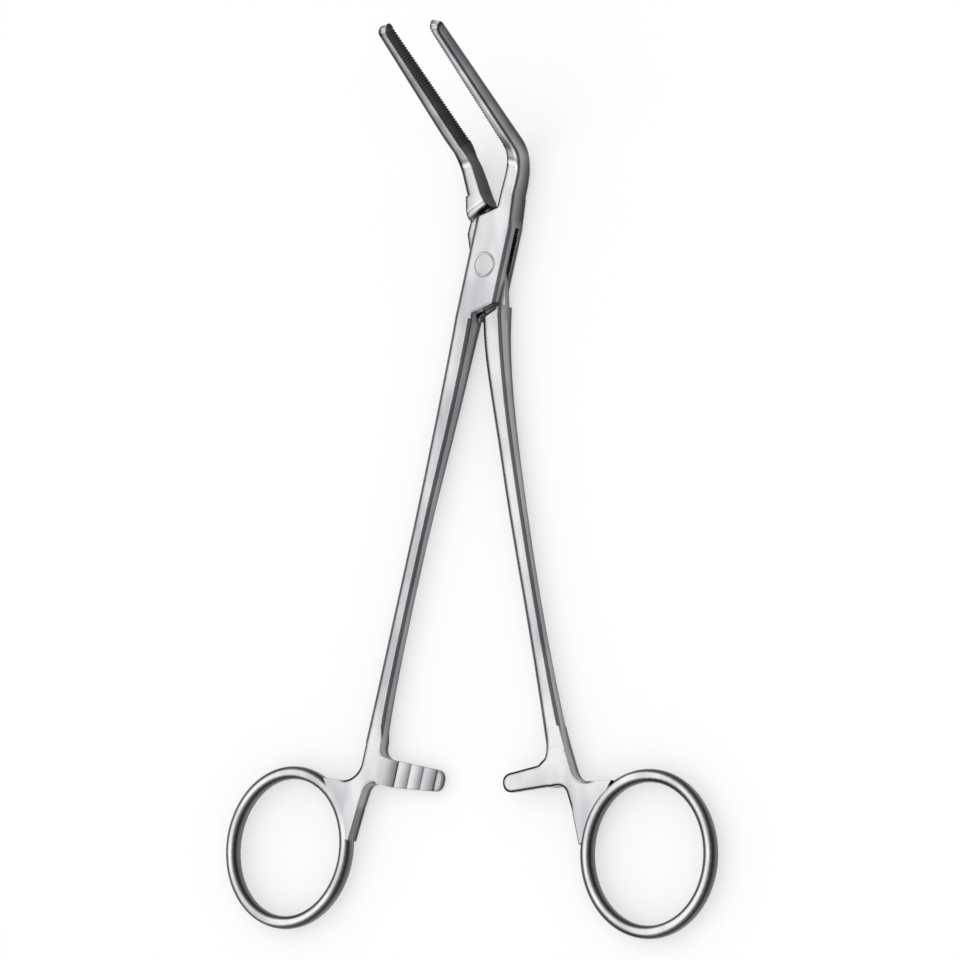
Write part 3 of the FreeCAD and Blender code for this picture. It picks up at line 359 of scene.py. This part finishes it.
def makeSteel(name, turnDegrees, side, look, darker=1.0, hasRack=False):
    # turnDegrees: how far the half's long axis is turned about Z; side: 1 or -1, where its grip face and ring
    # are; darker: its light against the look's
    material = bpy.data.materials.new(name)
    material.use_nodes = True
    tree = material.node_tree
    tree.nodes.clear()
    turn = math.radians(turnDegrees)
    at = placeOnHalf(tree, turn)
    edge = roundedSurface(tree, turn, look["edgeRound"], look["samples"])
    soft = roundedSurface(tree, turn, look["softRound"], look["samples"])
    parts = partShares(tree, at, soft, side, look)
    rack, shoulder = look["rack"], look["shoulder"]
    rackPatch = None
    if hasRack:
        rackPatch = patch(tree, at["facingUp"], rack["up"],
                          (at["station"], rack["span"]), (at["beside"], rack["beside"]))
        calmPatch = share(tree, rackPatch, rack["calm"])
    else:
        calmPatch = patch(tree, at["facingUp"], shoulder["up"], (at["station"], shoulder["span"]))
        calmPatch = share(tree, calmPatch, shoulder["calm"])
    lean = calmedLean(tree, edge, parts, calmPatch, look)

    clouds = grain(tree, at, turn, look["cloudSize"], look["cloudStretch"], look["cloudDetail"])
    cloudRamp = addNode(tree, "ShaderNodeValToRGB", None, {"Fac": clouds})
    setRamp(cloudRamp, look["cloudTones"])
    clouded = addNode(tree, "ShaderNodeMix", {"data_type": "RGBA", "blend_type": "MULTIPLY"},
                      {0: 1.0, firstColour: paintedReflectionTone(tree, lean, soft, parts, look),
                       secondColour: cloudRamp.outputs["Color"]}).outputs[mixedColour]
    # painted light: the pin's flush edge is drawn towards a pale tone
    flush = look["pinEdgePaintedLight"]
    onEdge = addNode(tree, "ShaderNodeMath", {"operation": "GREATER_THAN"},
                     {0: edge["lean"], 1: flush["from"]}).outputs["Value"]
    pinEdgeLightened = addNode(tree, "ShaderNodeMix", {"data_type": "RGBA"},
                       {0: share(tree, parts["pin"], onEdge, flush["share"]), firstColour: clouded,
                        secondColour: linearColour(flush["tone"])}).outputs[mixedColour]
    shade = steelShade(tree, at, edge, soft, lean, parts, rackPatch, side, darker, look)
    colour = addNode(tree, "ShaderNodeVectorMath", {"operation": "SCALE"},
                     {0: pinEdgeLightened, "Scale": shade}).outputs["Vector"]

    least, most = look["roughClouds"]
    rough = addNode(tree, "ShaderNodeMapRange", None,
                    {"Value": clouds, "From Min": least, "From Max": most,
                     "To Min": look["roughness"] - look["roughnessSpread"],
                     "To Max": look["roughness"] + look["roughnessSpread"]}).outputs["Result"]
    rough = addNode(tree, "ShaderNodeMath", {"operation": "MULTIPLY_ADD"},
                    {0: lean, 1: look["flankRoughness"] - look["roughness"], 2: rough}).outputs["Value"]
    lines = grain(tree, at, turn, look["grindPitch"], look["grindStretch"], look["grindDetail"])
    relief = addNode(tree, "ShaderNodeBump", None,
                     {"Strength": 1.0, "Distance": look["grindDepth"] * mm, "Height": lines,
                      "Normal": edge["normal"]}).outputs["Normal"]
    shader = addNode(tree, "ShaderNodeBsdfPrincipled", None,
                     {"Metallic": 1.0, "Base Color": colour, "Roughness": rough, "Normal": relief})
    addNode(tree, "ShaderNodeOutputMaterial", None, {"Surface": shader.outputs["BSDF"]})
    return material


# the halves stand turned apart by this angle on either side of the middle, as in the CAD model
halfTurn = 11.27    # degrees
steels = {
    "box_half": makeSteel("satinStainlessBoxHalf", -halfTurn, -1.0, steelLook, hasRack=True),
    "tongue_half": makeSteel("satinStainlessTongueHalf", halfTurn, 1.0, steelLook),
    "pivot_pin": makeSteel("groundStainlessPin", 0.0, 1.0, steelLook, darker=0.95),
}
for name, steel in steels.items():
    mesh = nodes[name].data
    mesh.materials.clear()
    mesh.materials.append(steel)
print("steel on all nodes")

# Floor: a white light table. Part of its white is the card's own colour, and part is a glow that is only
# seen, also in the steel, and lights nothing.
floorLook = {"colour": "#bcbcbc", "glow": 0.50, "size": 8.0, "level": -0.05 * mm}


def makeFloor(look):
    mesh = bpy.data.meshes.new("floor")
    half, level = look["size"] / 2, look["level"]
    corners = [(-half, -half, level), (half, -half, level), (half, half, level), (-half, half, level)]
    mesh.from_pydata(corners, [], [(0, 1, 2, 3)])
    floor = bpy.data.objects.new("floor", mesh)
    bpy.context.collection.objects.link(floor)
    card = bpy.data.materials.new("mattWhiteLightTable")
    card.use_nodes = True
    tree = card.node_tree
    tree.nodes.clear()
    rays = addNode(tree, "ShaderNodeLightPath").outputs
    seen = rays["Is Camera Ray"]
    for ray in ("Is Glossy Ray", "Is Transmission Ray"):
        seen = addNode(tree, "ShaderNodeMath", {"operation": "MAXIMUM"},
                       {0: seen, 1: rays[ray]}).outputs["Value"]
    shader = addNode(tree, "ShaderNodeBsdfPrincipled", None,
                     {"Base Color": linearColour(look["colour"]), "Roughness": 1.0, "Specular IOR Level": 0.0,
                      "Emission Color": (1, 1, 1, 1), "Emission Strength": share(tree, seen, look["glow"])})
    addNode(tree, "ShaderNodeOutputMaterial", None, {"Surface": shader.outputs["BSDF"]})
    mesh.materials.append(card)
    return floor


makeFloor(floorLook)
print("floor in place")

# Soft studio light: a white room and two softboxes. Places and sizes are in metres.
roomLook = {
    "strength": 0.98,
    "softboxes": {
        "edgeStrip": {"place": (0.25, -0.05, 0.75), "aim": (0, -0.03, 0), "size": (0.12, 1.2), "radiance": 0.6},
        "keyBox": {"place": (-0.45, 0.05, 0.8), "aim": (0, -0.03, 0), "size": (0.5, 0.9), "radiance": 0.08},
    },
}
world = bpy.data.worlds.new("whiteRoom")
world.use_nodes = True
room = world.node_tree.nodes["Background"]
room.inputs["Color"].default_value = (1, 1, 1, 1)
room.inputs["Strength"].default_value = roomLook["strength"]
bpy.context.scene.world = world
for name, box in roomLook["softboxes"].items():
    lamp = bpy.data.lights.new(name, "AREA")
    lamp.shape = "RECTANGLE"
    lamp.size, lamp.size_y = box["size"]
    lamp.energy = box["radiance"] * math.pi * lamp.size * lamp.size_y
    rig = bpy.data.objects.new(name, lamp)
    away = Vector(box["aim"]) - Vector(box["place"])
    rig.rotation_euler = away.to_track_quat("-Z", "Y").to_euler()
    rig.location = box["place"]
    bpy.context.collection.objects.link(rig)
print("lights in place")

# Camera: to the right of the pin's axis and towards the rings, rolled, with the pin's top at its pixel in the
# photograph. Angles are in degrees and the distance in metres.
cameraLook = {"side": 30.0, "lean": 7.0, "roll": 2.45, "distance": 0.930, "pixelsPerMm": 5.08,
              "pinTop": (0.0, 0.0, 5.3 * mm), "pinPixel": (483.6, 264.4), "picture": 960,
              "sensor": 36.0, "nearest": 0.01, "farthest": 20.0}


def makeCamera(look):
    side, lean, roll = (math.radians(look[angle]) for angle in ("side", "lean", "roll"))
    towards = Vector((math.sin(side), -math.tan(lean), math.cos(side))).normalized()
    levelRight = Vector((0, 1, 0)).cross(towards).normalized()
    levelUp = towards.cross(levelRight)
    right = math.cos(roll) * levelRight + math.sin(roll) * levelUp
    up = math.cos(roll) * levelUp - math.sin(roll) * levelRight
    across, down = (pixel - look["picture"] / 2 for pixel in look["pinPixel"])
    perPixel = mm / look["pixelsPerMm"]
    place = Vector(look["pinTop"]) + towards * look["distance"] + (up * down - right * across) * perPixel
    lens = bpy.data.cameras.new("camera")
    lens.sensor_fit = "HORIZONTAL"
    lens.sensor_width = look["sensor"]
    lens.lens = look["sensor"] * look["distance"] / (look["picture"] * perPixel)
    lens.clip_start = look["nearest"]
    lens.clip_end = look["farthest"]
    camera = bpy.data.objects.new("camera", lens)
    camera.matrix_world = Matrix((
        (right.x, up.x, towards.x, place.x),
        (right.y, up.y, towards.y, place.y),
        (right.z, up.z, towards.z, place.z),
        (0, 0, 0, 1)))
    bpy.context.collection.objects.link(camera)
    return camera


bpy.context.scene.camera = makeCamera(cameraLook)
bpy.context.scene.view_settings.view_transform = "Standard"
print("camera in place")
